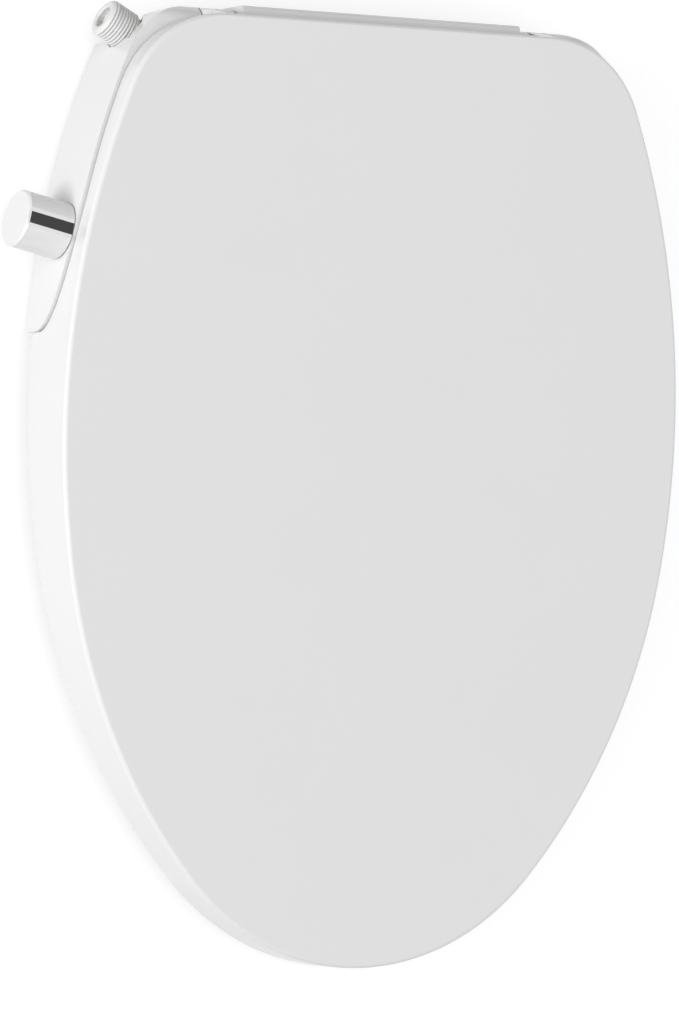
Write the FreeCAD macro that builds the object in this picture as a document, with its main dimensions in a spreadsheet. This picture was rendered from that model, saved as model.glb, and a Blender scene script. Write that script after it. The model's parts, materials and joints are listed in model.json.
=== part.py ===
"""Bidet toilet seat: lid and seat ring on slow-close hinges, over a U-shaped water housing.

Millimetres. The origin is the midpoint of the two bolt slots, on the underside of the mounting
bracket. +Z is up, the rounded front tip points to -Y, the hinges are at the rear (+Y), and the
control knob and the water inlet are on the -X side.
"""
import FreeCAD, Part
import math
import os

import Sketcher

V = FreeCAD.Vector
doc = FreeCAD.newDocument("BidetSeat")
sheet = doc.addObject("Spreadsheet::Sheet", "Dims")
PARTS = {}


# ---------------------------------------------------------------- driving dimensions
class Size:
    """A number that remembers the spreadsheet expression it comes from."""

    def __init__(self, number, text=None):
        self.number = float(number)
        self.text = text or ("(%.6f)" % number)

    def __add__(self, other):
        return combine(self, "+", other)

    def __radd__(self, other):
        return combine(other, "+", self)

    def __sub__(self, other):
        return combine(self, "-", other)

    def __rsub__(self, other):
        return combine(other, "-", self)

    def __mul__(self, other):
        return combine(self, "*", other)

    def __rmul__(self, other):
        return combine(other, "*", self)

    def __truediv__(self, other):
        return combine(self, "/", other)

    def __neg__(self):
        return combine(0, "-", self)

    def __float__(self):
        return self.number


def as_size(value):
    return value if isinstance(value, Size) else Size(value)


def combine(left, sign, right):
    left, right = as_size(left), as_size(right)
    a, b = left.number, right.number
    number = {"+": a + b, "-": a - b, "*": a * b, "/": a / b if b else 0.0}[sign]
    return Size(number, "(%s %s %s)" % (left.text, sign, right.text))


def fill_sheet(rows):
    sizes = {}
    for row, (name, number) in enumerate(rows, start=1):
        sheet.set("A%d" % row, name)
        sheet.set("B%d" % row, str(number))
        sheet.setAlias("B%d" % row, name)
        sizes[name] = Size(number, "Dims." + name)
    doc.recompute()
    return sizes


S = fill_sheet([
    # plan outline of the lid: tangent arcs from the front tip round to the straight rear edge
    ("lid_length", 495), ("lid_rear_y", 23),
    ("tip_radius", 138), ("tip_sweep", 48.3),
    ("front_radius", 325), ("front_sweep", 31.7),
    ("side_radius", 464), ("side_sweep", 31.8),
    ("corner_radius", 58),
    # lid section
    ("lid_rear_top", 62), ("lid_tip_top", 31), ("lid_plate", 3.5), ("skirt_wall", 3),
    ("edge_round", 2), ("skirt_rear_low", 7.5), ("skirt_tip_low", 11), ("skirt_corner", 6),
    ("seam", 0.7),
    # seat ring
    ("seat_inset", 5), ("seat_drop", 7.5), ("seat_under", 14), ("seat_wall", 3.5),
    ("seat_rear_y", -3), ("seat_low", 8), ("seat_step_y", -147), ("seat_step_z", 18),
    ("seat_ramp_y", -128),
    ("hole_front_y", -390), ("hole_tip_radius", 98), ("hole_side_radius", 233),
    ("hole_rear_radius", 85), ("hole_sweep", 70),
    # housing
    ("ledge_z", 45.5), ("ledge_reach", 2), ("housing_rear_y", 28), ("housing_corner", 40),
    ("housing_low", 2), ("nose_low", 5), ("housing_wall", 2.5), ("nose_y", -142), ("nose_centre_y", -60),
    ("nose_centre_z", 15), ("rear_slope", 20), ("front_wall_y", -92), ("arm_inner_x", 128),
    ("recess_drop", 15.5), ("recess_inset", 4), ("base_plate", 2.5), ("base_gap", 0.15),
    # hinge
    ("hinge_y", 20), ("hinge_z", 37.5), ("hinge_round", 8), ("block_half", 85),
    ("block_front_y", 1), ("block_rear_y", 29.5), ("block_top_z", 50), ("block_round", 2.5),
    ("slot_half", 107),
    ("slot_floor_z", 27), ("ear_round", 8), ("seat_ear_x", 86), ("lid_ear_x", 96.5),
    ("ear_width", 9.5), ("shaft_radius", 3), ("running", 0.05), ("bush_radius", 4.5),
    ("damper_radius", 7), ("damper_inner_x", 45), ("damper_outer_x", 84.5), ("barrel_radius", 8.4),
    ("barrel_inner_x", 38), ("shaft_inner_x", 60), ("shaft_length", 46), ("drive_flat", 2.2),
    # knob and valve; along the knob axis, from the outside of the wall
    ("knob_y", -91), ("knob_z", 29), ("knob_turned", 12.5), ("knob_radius", 15),
    ("knob_reach", 27), ("knob_gap", 0.6), ("knob_chamfer", 1), ("knob_flat", 10),
    ("strip_width", 6), ("strip_depth", 0.8), ("strip_end", 1.5), ("stem_radius", 4),
    # inlet; along its own axis
    ("inlet_x", -138.8), ("inlet_y", 13.8), ("inlet_z", 24), ("inlet_turned", 28),
    ("thread_major", 20.955), ("thread_minor", 18.631), ("thread_pitch", 1.814),
    ("thread_start", 129), ("thread_length", 17), ("inlet_bore", 6), ("notch_y", 5.5), ("notch_slope", 18),
    ("notch_top_z", 39), ("notch_reach", 131),
    # nozzles; along their own axis
    ("nozzle_angle", 17), ("nozzle_x", 9), ("nozzle_radius", 4.5), ("nozzle_length", 54),
    ("nozzle_low_z", 6.3), ("nozzle_back", 14), ("piston_radius", 5.5), ("cylinder_radius", 5.6),
    # bracket
    ("slot_spacing", 140), ("slot_length", 30), ("slot_radius", 5), ("bracket_plate", 4),
    ("channel_half", 97.5), ("channel_top", 14), ("channel_front_y", -38),
    # release button
    ("release_y", -30.65), ("release_z", 14), ("hose_radius", 4), ("hose_bore", 2.5),
])


def v(name):
    return S[name].number


# places in plan (x, y): screw posts on one side, rubber feet, and the nozzle block's lugs
POSTS = ((158, -128), (100, -66), (142, -4))
FEET = ((167, -115), (-167, -115), (125, -20), (-125, -20))
LUGS = ((21.5, -64), (-21.5, -64), (21.5, -48), (-21.5, -48))
# bumpers under one side of the seat: x, y and turn in degrees; pads under the lid: x, y
SEAT_BUMPERS = ((78, -396, 47), (146, -230, 92))
LID_BUMPERS = ((95, -372), (-95, -372), (150, -250), (-150, -250))
# distances in from the outside of the knob's wall
VALVE_PORTS = (12, 22, 32)
VALVE_SCREWS = (10, 32)
VALVE_PORT_Z = 14
# distances along the nozzles, from their rear end, of the two hose ports
NOZZLE_PORTS = (4, -8)
# heights of the inlet's two fixing screws above and below its axis
INLET_SCREWS = (11.6, -11.6)
# screws: head radius, head height, shank radius, length
COVER_SCREW = (3.6, 1.5, 1.5, 12)
INLET_SCREW = (2.6, 1.4, 1.25, 9)
VALVE_SCREW = (2.8, 1.4, 1.25, 10)
BLOCK_SCREW = (2.8, 1.4, 1.25, 7.5)
# hinge line and lower edge of the flap in front of the nozzles
GATE_Y, GATE_Z, GATE_LOW_Z = -90.0, 29.5, 12.0

LID_SLOPE = (S["lid_rear_top"] - S["lid_tip_top"]) / S["lid_length"]
LID_TIP_Y = S["lid_rear_y"] - S["lid_length"]


def lid_top(y):
    """Height of the lid's flat top above the bracket's underside, at a given y."""
    return S["lid_tip_top"] + (as_size(y) - LID_TIP_Y) * LID_SLOPE


# ---------------------------------------------------------------- document helpers
def bind(obj, prop, size):
    obj.setExpression(prop, as_size(size).text)


def place_at(obj, x, y, z):
    for axis, size in zip("xyz", (x, y, z)):
        bind(obj, "Placement.Base." + axis, size)


def box(name, x0, x1, y0, y1, z0, z1):
    obj = doc.addObject("Part::Box", name)
    for prop, low, high in (("Length", x0, x1), ("Width", y0, y1), ("Height", z0, z1)):
        bind(obj, prop, as_size(high) - low)
    place_at(obj, x0, y0, z0)
    return obj


def aimed(direction):
    return FreeCAD.Rotation(V(0, 0, 1), direction)


def cylinder(name, radius, start, direction, length):
    obj = doc.addObject("Part::Cylinder", name)
    bind(obj, "Radius", radius)
    bind(obj, "Height", length)
    obj.Placement = FreeCAD.Placement(V(0, 0, 0), aimed(direction))
    place_at(obj, *start)
    return obj


def cut(name, base, *tools):
    result = base
    for index, tool in enumerate(tools):
        step = doc.addObject("Part::Cut", name if index == len(tools) - 1 else name + "_cut")
        step.Base, step.Tool = result, tool
        result = step
    return result


def fuse(name, *shapes):
    obj = doc.addObject("Part::MultiFuse", name)
    obj.Shapes = list(shapes)
    obj.Refine = True
    return obj


def common(name, first, second):
    obj = doc.addObject("Part::Common", name)
    obj.Base, obj.Tool = first, second
    return obj


def group(name, members):
    obj = doc.addObject("Part::Compound", name)
    obj.Links = list(members)
    return obj


def mirrored(obj, normal=V(1, 0, 0)):
    twin = doc.addObject("Part::Mirroring", obj.Name + "_twin")
    twin.Source = obj
    twin.Normal = normal
    return twin


def both_sides(obj):
    return [obj, mirrored(obj)]


def sketch(name, curves, side_view=False):
    """A free sketch in plan (X, Y), or in the side view (Y, Z)."""
    obj = doc.addObject("Sketcher::SketchObject", name)
    if side_view:
        obj.Placement.Rotation = FreeCAD.Rotation(V(1, 1, 1), 120)
    obj.addGeometry(curves, False)
    return obj


def extrude(name, profile, length, low=None, centred=False):
    obj = doc.addObject("Part::Extrusion", name)
    obj.Base = profile
    obj.DirMode = "Normal"
    obj.Solid = True
    obj.Symmetric = centred
    bind(obj, "LengthFwd", length)
    if low is not None:
        place_at(obj, 0, 0, low)
    return obj


def lines(*points):
    corners = [V(float(a), float(b), 0) for a, b in points]
    return [Part.LineSegment(p, q) for p, q in zip(corners, corners[1:] + corners[:1])]


def origin_plane(body, role):
    return next(f for f in body.Origin.OriginFeatures if f.Role == role)


def bound_polygon(sk, points):
    """Closed polygon whose corners are bound to the sheet."""
    sk.addGeometry(lines(*points), False)
    count = len(points)
    for i, (a, b) in enumerate(points):
        sk.addConstraint(Sketcher.Constraint("Coincident", i, 2, (i + 1) % count, 1))
        for kind, size in (("DistanceX", a), ("DistanceY", b)):
            size = as_size(size)
            index = sk.addConstraint(Sketcher.Constraint(kind, -1, 1, i, 1, size.number))
            sk.setExpression("Constraints[%d]" % index, size.text)


def turned(name, profile, start=(0, 0, 0), direction=V(0, 0, 1)):
    """A lathe-turned piece: (radius, height) corners turned about its own Z, then placed."""
    body = doc.addObject("PartDesign::Body", name)
    sk = body.newObject("Sketcher::SketchObject", name + "_profile")
    sk.AttachmentSupport = [(origin_plane(body, "XZ_Plane"), "")]
    sk.MapMode = "FlatFace"
    bound_polygon(sk, profile)
    turn = body.newObject("PartDesign::Revolution", name + "_turn")
    turn.Profile = sk
    turn.ReferenceAxis = (sk, ["V_Axis"])
    turn.Angle = 360
    body.Tip = turn
    body.Placement = FreeCAD.Placement(V(0, 0, 0), aimed(direction))
    place_at(body, *start)
    return body


def pin_profile(radius, length, low=0):
    return [(0, low), (radius, low), (radius, low + length), (0, low + length)]


def tube_profile(inner, outer, low, high):
    return [(inner, low), (outer, low), (outer, high), (inner, high)]


def rounded_edges(name, base, picks):
    """Fillet the edges that a rule picks: (rule, radius) pairs."""
    doc.recompute()
    edges = []
    for index, edge in enumerate(base.Shape.Edges, start=1):
        for rule, radius in picks:
            if rule(edge):
                edges.append((index, radius, radius))
                break
    obj = doc.addObject("Part::Fillet", name)
    obj.Base = base
    obj.Edges = edges
    return obj


def part(label, obj):
    obj.Label = label
    PARTS[label] = obj
    return obj


# ---------------------------------------------------------------- plan outlines
def arc_run(start, heading, steps):
    """Tangent arcs turning left; each step is (radius, sweep in degrees)."""
    arcs, point = [], start
    for radius, sweep in steps:
        a0, a1 = math.radians(heading), math.radians(heading + sweep)
        centre = point + V(-radius * math.sin(a0), radius * math.cos(a0), 0)
        at = lambda a: centre + V(radius * math.sin(a), -radius * math.cos(a), 0)
        arcs.append((at(a0), at((a0 + a1) / 2), at(a1)))
        point, heading = at(a1), heading + sweep
    return arcs, point


def closed_half_and_mirror(arcs, rear_point):
    """Right half arcs, the straight rear edge, and the left half."""
    def flip(p):
        return V(-p.x, p.y, 0)
    left = [Part.Arc(flip(last), flip(middle), flip(first))
            for first, middle, last in reversed(arcs)]
    right = [Part.Arc(*points) for points in arcs]
    return right + [Part.LineSegment(rear_point, flip(rear_point))] + left


def lid_outline(inset):
    corner_sweep = 180 - v("tip_sweep") - v("front_sweep") - v("side_sweep")
    steps = [(v("tip_radius") - inset, v("tip_sweep")),
             (v("front_radius") - inset, v("front_sweep")),
             (v("side_radius") - inset, v("side_sweep")),
             (v("corner_radius") - inset, corner_sweep)]
    arcs, end = arc_run(V(0, LID_TIP_Y.number + inset, 0), 0, steps)
    return closed_half_and_mirror(arcs, end)


def seat_hole_outline(grow):
    sweep = v("hole_sweep")
    steps = [(v("hole_tip_radius") + grow, sweep),
             (v("hole_side_radius") + grow, 180 - 2 * sweep),
             (v("hole_rear_radius") + grow, sweep)]
    arcs, end = arc_run(V(0, v("hole_front_y") - grow, 0), 0, steps)
    return closed_half_and_mirror(arcs, end)


def side_arc_centre():
    """Centre of the long arc that makes the lid's right side."""
    point, heading, hub = V(0, LID_TIP_Y.number, 0), 0.0, V(0, 0, 0)
    for name in ("tip", "front", "side"):
        radius = v(name + "_radius")
        a0 = math.radians(heading)
        heading += v(name + "_sweep")
        a1 = math.radians(heading)
        hub = point + V(-radius * math.sin(a0), radius * math.cos(a0), 0)
        point = hub + V(radius * math.sin(a1), -radius * math.cos(a1), 0)
    return hub


def housing_outline(inset):
    """Side arcs parallel to the lid's, then a corner arc tangent to the rear wall."""
    centre = side_arc_centre()
    side = v("side_radius") + v("ledge_reach")
    corner = v("housing_corner")
    corner_y = v("housing_rear_y") - corner
    corner_x = centre.x + math.sqrt((side - corner) ** 2 - (corner_y - centre.y) ** 2)
    lean = math.atan2(corner_y - centre.y, corner_x - centre.x)
    front = math.radians(-12)
    side -= inset
    corner -= inset
    at_side = lambda a: centre + V(side * math.cos(a), side * math.sin(a), 0)
    hub = V(corner_x, corner_y, 0)
    at_corner = lambda a: hub + V(corner * math.cos(a), corner * math.sin(a), 0)
    arcs = [(at_side(front), at_side((front + lean) / 2), at_side(lean)),
            (at_corner(lean), at_corner((lean + math.pi / 2) / 2), at_corner(math.pi / 2))]
    curves = closed_half_and_mirror(arcs, at_corner(math.pi / 2))
    first = at_side(front)
    return curves + [Part.LineSegment(V(-first.x, first.y, 0), first)]


def wall_x(y):
    """Outside of the housing's side wall at a given y."""
    centre = side_arc_centre()
    side = v("side_radius") + v("ledge_reach")
    return centre.x + math.sqrt(side ** 2 - (y - centre.y) ** 2)


# ---------------------------------------------------------------- side views
def below_lid_top(drop, low):
    """Side view of everything under a plane parallel to the lid's top."""
    front, rear = LID_TIP_Y - 10, S["lid_rear_y"] + 20
    return lines((front, lid_top(front) - drop), (front, low),
                 (rear, low), (rear, lid_top(rear) - drop))


def nose_curve(offset):
    half_y = v("nose_centre_y") - v("nose_y") + offset
    half_z = v("ledge_z") - v("nose_centre_z") + offset
    centre = V(v("nose_centre_y"), v("nose_centre_z"), 0)
    major = centre + V(-half_y, 0, 0)
    minor = centre + V(0, half_z, 0)
    ellipse = Part.Ellipse(major, minor, centre)
    low, high = ellipse.parameter(major), ellipse.parameter(minor)
    if high < low:
        low, high = high, low
    if high - low > math.pi:
        low, high = high, low + 2 * math.pi
    return Part.ArcOfEllipse(ellipse, low, high)


def lid_side_view():
    gap = v("seam")
    front, rear = LID_TIP_Y.number - 10, v("lid_rear_y") + 10
    ledge = v("ledge_z") + gap
    nose_front = v("nose_y") - gap
    slope = (v("skirt_rear_low") - v("skirt_tip_low")) / (nose_front - LID_TIP_Y.number)
    low_at = lambda y: v("skirt_tip_low") + slope * (y - LID_TIP_Y.number)
    corner = v("skirt_corner")
    turn_y, turn_z = nose_front - corner, low_at(nose_front - corner)
    chain = [V(rear, lid_top(rear).number, 0), V(front, lid_top(front).number, 0),
             V(front, low_at(front), 0), V(turn_y, turn_z, 0)]
    curves = [Part.LineSegment(p, q) for p, q in zip(chain, chain[1:])]
    lift = math.sqrt(0.5) * corner
    curves.append(Part.Arc(V(turn_y, turn_z, 0),
                           V(turn_y + lift, turn_z + corner - lift, 0),
                           V(nose_front, turn_z + corner, 0)))
    curves.append(Part.LineSegment(V(nose_front, turn_z + corner, 0),
                                   V(nose_front, v("nose_centre_z"), 0)))
    curves.append(nose_curve(gap))
    crest = V(v("nose_centre_y"), ledge, 0)
    curves.append(Part.LineSegment(crest, V(rear, ledge, 0)))
    curves.append(Part.LineSegment(V(rear, ledge, 0), V(rear, lid_top(rear).number, 0)))
    return curves


def housing_side_view(inset, low, nose_low):
    """Nose, ledge, quarter round about the hinge axis, and rear wall leaning forward."""
    ledge = v("ledge_z") - inset
    radius = v("hinge_round") - inset
    lean = math.radians(v("rear_slope"))
    hub = V(v("hinge_y"), v("hinge_z"), 0)
    on_round = lambda a: hub + V(radius * math.cos(a), radius * math.sin(a), 0)
    leave = on_round(-lean)
    foot = V(leave.x - (leave.y - low) * math.tan(lean), low, 0)
    nose = v("nose_y") + inset
    return [nose_curve(-inset),
            Part.LineSegment(V(v("nose_centre_y"), ledge, 0), V(hub.x, ledge, 0)),
            Part.Arc(V(hub.x, ledge, 0), on_round(math.radians(35)), leave),
            Part.LineSegment(leave, foot),
            Part.LineSegment(foot, V(nose, nose_low, 0)),
            Part.LineSegment(V(nose, nose_low, 0), V(nose, v("nose_centre_z"), 0))]


def prism(name, curves, tall=100, low=-20):
    return extrude(name, sketch(name + "_plan", curves), tall, low)


def side_prism(name, curves, width=420):
    return extrude(name, sketch(name + "_side", curves, side_view=True), width, centred=True)


# ---------------------------------------------------------------- axes of the side fittings
def flat_direction(turn, toward):
    """Horizontal direction leaving the -X side, turned towards the rear by `turn` degrees."""
    a = math.radians(turn)
    return V(-math.cos(a) * toward, math.sin(a) * toward, 0)


KNOB_OUT = flat_direction(v("knob_turned"), 1)
KNOB_WALL = V(-wall_x(v("knob_y")), v("knob_y"), v("knob_z"))
INLET_OUT = flat_direction(v("inlet_turned"), 1)
INLET_FACE = V(v("inlet_x"), v("inlet_y"), v("inlet_z"))
INLET_REACH = INLET_FACE.dot(INLET_OUT)
INLET_TURN = V(-0.12, -1, 0).normalize()


def on_knob_axis(distance):
    return tuple(KNOB_WALL + KNOB_OUT * distance)


def on_inlet_axis(reach):
    """Point of the inlet axis at a given distance from the row's origin along that axis."""
    return tuple(INLET_FACE + INLET_OUT * (reach - INLET_REACH))


NOZZLE_OUT = V(0, -math.cos(math.radians(v("nozzle_angle"))),
               -math.sin(math.radians(v("nozzle_angle"))))
NOZZLE_UP = V(0, NOZZLE_OUT.z, -NOZZLE_OUT.y)


def nozzle_point(s, up=0.0, x=0.0):
    """Point at s along a nozzle from its rear end, in the retracted position."""
    crossing = V(0, v("front_wall_y"), v("nozzle_low_z"))
    rear = crossing - NOZZLE_OUT * (v("nozzle_back") + v("nozzle_length"))
    p = rear + NOZZLE_OUT * s + NOZZLE_UP * up
    return (x, p.y, p.z)


def turned_block(name, corner, sizes, rotation):
    obj = doc.addObject("Part::Box", name)
    for prop, size in zip(("Length", "Width", "Height"), sizes):
        bind(obj, prop, size)
    obj.Placement = FreeCAD.Placement(V(*[float(c) for c in corner]), rotation)
    return obj


# ---------------------------------------------------------------- housing block
def ear_slots(name, inset):
    slot = box(name, S["block_half"] - inset, S["slot_half"] + inset, -inset, 40,
               S["slot_floor_z"] - inset, 80)
    return group(name + "_pair", both_sides(slot))


def inlet_notch(name, inset):
    """Wedge that leans the left rear corner inwards below the ledge."""
    slope = FreeCAD.Rotation(V(0, 0, 1), 180 - v("inlet_turned"))
    lean = FreeCAD.Rotation(V(0, 1, 0), v("notch_slope"))
    top = INLET_OUT * (v("notch_reach") - inset) + V(0, 0, v("notch_top_z"))
    side = slope.multVec(V(0, 1, 0))
    corner = top - side * 60
    wedge = turned_block(name + "_wedge", corner, (60, 120, 80), slope.multiply(lean))
    wedge.Placement.Base = corner + wedge.Placement.Rotation.multVec(V(0, 0, -80))
    limit = box(name + "_limit", -220, -100, S["notch_y"] - inset, 60, -20, S["notch_top_z"])
    return common(name, wedge, limit)


def block_top_edge(edge):
    """True for the two long upper edges of the block between the hinge slots."""
    start = edge.FirstParameter
    return abs(edge.tangentAt(start).x) > 0.9 and edge.valueAt(start).z > v("block_top_z") - 0.1


def housing_block(name, inset, low, nose_low):
    """The housing's outer shape, shrunk by a wall thickness; its lower edge rises towards the nose."""
    plan = prism(name + "_outline", housing_outline(inset))
    view = side_prism(name + "_view", housing_side_view(inset, low, nose_low))
    shape = common(name + "_shape", plan, view)
    bowl = box(name + "_bowl", -S["arm_inner_x"] - inset, S["arm_inner_x"] + inset,
               -200, S["front_wall_y"] + inset, -20, 80)
    floor_front = lid_top(-200) - S["recess_drop"] - inset
    floor_rear = lid_top(0) - S["recess_drop"] - inset
    above = side_prism(name + "_above", lines((-200, floor_front), (-inset, floor_rear),
                                              (-inset, 90), (-200, 90)))
    seat_recess = common(name + "_recess", above,
                         prism(name + "_recess_outline", lid_outline(v("recess_inset") - inset)))
    block = box(name + "_block", inset - S["block_half"], S["block_half"] - inset,
                S["block_front_y"] + inset, S["block_rear_y"] - inset, low,
                S["block_top_z"] - inset)
    if not inset:
        block = rounded_edges(name + "_block_rounded", block, [(block_top_edge, v("block_round"))])
    body = fuse(name + "_with_block", cut(name + "_open", shape, bowl, seat_recess), block)
    return cut(name, body, ear_slots(name + "_slot", inset), inlet_notch(name + "_notch", inset))


def screw_posts(name, radius, low, high):
    """Upright rods at the six screw places, three on each side."""
    posts = []
    for index, (x, y) in enumerate(POSTS):
        post = cylinder("%s_%d" % (name, index), radius, (x, y, low), V(0, 0, 1),
                        as_size(high) - low)
        posts += both_sides(post)
    return posts


def housing_cover():
    outer = housing_block("cover_outer", 0, v("housing_low"), v("nose_low"))
    hollow = housing_block("cover_hollow", v("housing_wall"), -10, -10)
    shell = cut("cover_shell", outer, hollow)
    axis_y, axis_z = S["hinge_y"], S["hinge_z"]
    barrel = cylinder("hinge_barrel", S["barrel_radius"], (S["barrel_inner_x"], axis_y, axis_z),
                      V(1, 0, 0), S["block_half"] - S["barrel_inner_x"])
    boss = cylinder("inlet_boss", 15, on_inlet_axis(112), INLET_OUT, 14)
    posts = screw_posts("cover_post", 4, 4.6, 60)
    stuff = group("cover_inner", both_sides(barrel) + [boss] + posts)
    kept = common("cover_inner_kept", stuff, outer)
    solid = fuse("cover_solid", shell, kept)
    damper_hole = cylinder("damper_hole", S["damper_radius"], (S["damper_inner_x"], axis_y, axis_z),
                           V(1, 0, 0), 60)
    axis_hole = cylinder("axis_hole", 3.4, (104, axis_y, axis_z), V(1, 0, 0), 6)
    knob_hole = cylinder("knob_hole", 7.6, on_knob_axis(-8), KNOB_OUT, 14)
    neck_hole = cylinder("neck_hole", 9.6, on_inlet_axis(110), INLET_OUT, 18)
    thread_hole = cylinder("thread_hole", 11.4, on_inlet_axis(127.6), INLET_OUT, 30)
    gate_gap = box("gate_gap", -24, 24, -100, -84, -5, 33)
    bracket_gap = box("bracket_gap", -S["channel_half"] - 3, S["channel_half"] + 3, 4, 60, -5,
                      S["channel_top"] + 3)
    bracket_gap_front = box("bracket_gap_front", -24, 24, -92, -84, -5, 6)
    button_hole = box("button_hole", 150, 175, S["release_y"] - 10.4, S["release_y"] + 10.4,
                      S["release_z"] - 4.9, S["release_z"] + 4.9)
    gate_pin_hole = cylinder("gate_pin_hole", 1.25, (-27.5, GATE_Y, GATE_Z), V(1, 0, 0), 55)
    pilots = screw_posts("cover_pilot", 1.5, 0, 16)
    inlet_pilots = [cylinder("inlet_pilot_%d" % k, 1.25, tuple(V(*on_inlet_axis(111)) + V(0, 0, dz)),
                             INLET_OUT, 9) for k, dz in enumerate(INLET_SCREWS)]
    cheeks = group("gate_cheeks", both_sides(box("gate_cheek", 24, 27, -91.9, -85, 24, 33)))
    whole = fuse("cover_whole", solid, cheeks)
    holes = group("cover_holes", both_sides(damper_hole) + [
        knob_hole, neck_hole, thread_hole, gate_gap, bracket_gap, bracket_gap_front, button_hole,
        gate_pin_hole] + both_sides(axis_hole) + pilots + inlet_pilots)
    part("housing_cover", cut("housing_cover", whole, holes))


def housing_base():
    inset = v("housing_wall") + v("base_gap")
    blank = housing_block("base_blank", inset, v("housing_low"), v("housing_low"))
    top = S["housing_low"] + S["base_plate"]
    slab = common("base_slab", blank, box("base_layer", -220, 220, -200, 60, S["housing_low"], top))
    half, high = S["channel_half"], S["channel_top"]
    wall = S["base_plate"]
    channel = box("channel_space", -half, half, S["channel_front_y"], 60, -5, high)
    shell = cut("channel_shell", box("channel_outside", -half - wall, half + wall,
                                     S["channel_front_y"] - wall, 25, S["housing_low"],
                                     high + wall), channel)
    shell_in = common("channel_inside", shell, blank)
    rail = box("under_rail", 91, half, -22, 8, 1, 3.2)
    open_slab = cut("base_open", slab, channel)
    whole = fuse("base_whole", open_slab, shell_in, *both_sides(rail))
    bar_hole = box("bar_hole", 96, 102, S["release_y"] - 3, S["release_y"] + 3, 7.3, 13.3)
    nozzle_gap = box("nozzle_gap", -24.5, 24.5, -100, -72, -5, 20)
    screws = screw_posts("base_screw_hole", 2.2, -5, 20)
    studs = [cylinder("foot_hole_%d" % k, 2, (x, y, -5), V(0, 0, 1), 20)
             for k, (x, y) in enumerate(FEET)]
    lugs = [cylinder("lug_hole_%d" % k, 1.25, (x, y, 0), V(0, 0, 1), 20)
            for k, (x, y) in enumerate(LUGS)]
    lugs += [cylinder("valve_screw_hole_%d" % k, 1.5, (*valve_screw_xy(along), 0), V(0, 0, 1), 10)
             for k, along in enumerate(VALVE_SCREWS)]
    roof_gap = box("roof_gap", -19.5, 19.5, -45, -24, 9, 30)
    pads = [cylinder("lug_pad_%d" % k, 4, (x, y, 2), V(0, 0, 1), 5.4)
            for k, (x, y) in enumerate(LUGS)]
    solid = fuse("base_solid", whole, *pads)
    part("housing_base", cut("housing_base", solid, group("base_holes", [
        bar_hole, nozzle_gap, roof_gap] + screws + studs + lugs)))


def base_feet():
    feet = [turned("foot_%d" % k, [(0, 0), (8, 0), (9, 1), (9, S["housing_low"]),
                                   (2, S["housing_low"]), (2, 4.5), (0, 4.5)], (x, y, 0))
            for k, (x, y) in enumerate(FEET)]
    part("base_feet", group("base_feet", feet))


def screw(name, start, direction, head_radius, head_height, shank, length):
    """Screw whose head sits below its start point and whose shank goes along direction."""
    return turned(name, [(0, -head_height), (head_radius * 0.7, -head_height),
                         (head_radius, -head_height * 0.5), (head_radius, 0),
                         (shank, 0), (shank, length - shank), (0, length)], start, direction)


def cover_screws():
    screws = []
    for k, (x, y) in enumerate(POSTS):
        for side in (1, -1):
            screws.append(screw("cover_screw_%d_%d" % (k, side + 1), (side * x, y, 2),
                                V(0, 0, 1), *COVER_SCREW))
    part("cover_screws", group("cover_screws", screws))


def mounting_bracket():
    plate = box("bracket_flat", -90, 90, -24, 10, 0, S["bracket_plate"])
    lips = both_sides(box("bracket_lip", 80, 97, -20, 6, 3.5, 7))
    tongue = box("bracket_tongue", 70, 90, -36, -24, 0, S["bracket_plate"])
    tooth = box("bracket_tooth", 86.6, 89.4, -36, -33, 3, 10)
    solid = fuse("bracket_solid", plate, tongue, tooth, *lips)
    half = S["slot_length"] / 2 - S["slot_radius"]
    slots = []
    for k, side in enumerate((-1, 1)):
        middle = S["slot_spacing"] / 2 * side
        slots.append(box("slot_mid_%d" % k, middle - half, middle + half, -S["slot_radius"],
                         S["slot_radius"], -1, 6))
        for j, end in enumerate((-1, 1)):
            slots.append(cylinder("slot_end_%d_%d" % (k, j), S["slot_radius"],
                                  (middle + half * end, 0, -1), V(0, 0, 1), 7))
    part("mounting_bracket", cut("mounting_bracket", solid, fuse("bracket_slots", *slots)))


def release_button():
    y, z = S["release_y"], S["release_z"]
    outer = wall_x(v("release_y"))
    cap = box("button_cap", outer - 6, outer + 2.5, y - 10, y + 10, z - 4.5, z + 4.5)
    rounded = doc.addObject("Part::Fillet", "button_rounded")
    rounded.Base = cap
    doc.recompute()
    far = outer + 2.5
    edges = [i for i, e in enumerate(cap.Shape.Edges, start=1)
             if all(abs(p.Point.x - far) < 0.01 for p in e.Vertexes)
             or abs(e.tangentAt(e.FirstParameter).x) > 0.9]
    rounded.Edges = [(i, 1.2, 1.2) for i in edges]
    bar_z = 10.3
    stem = cylinder("button_stem", 2.4, (100, y, bar_z), V(1, 0, 0), outer - 106)
    collar = cylinder("button_collar", 5, (122, y, bar_z), V(1, 0, 0), 2)
    bar = box("button_bar", 84, 102, y - 1.85, y + 1.85, 7.6, 13)
    riser = box("button_riser", outer - 9, outer - 5, y - 3, y + 3, 8, z + 3)
    notch = box("button_notch", 90, 94, y - 3, y + 3, 5, 10.4)
    solid = fuse("button_solid", rounded, stem, collar, bar, riser)
    part("release_button", cut("release_button", solid, notch))


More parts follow.
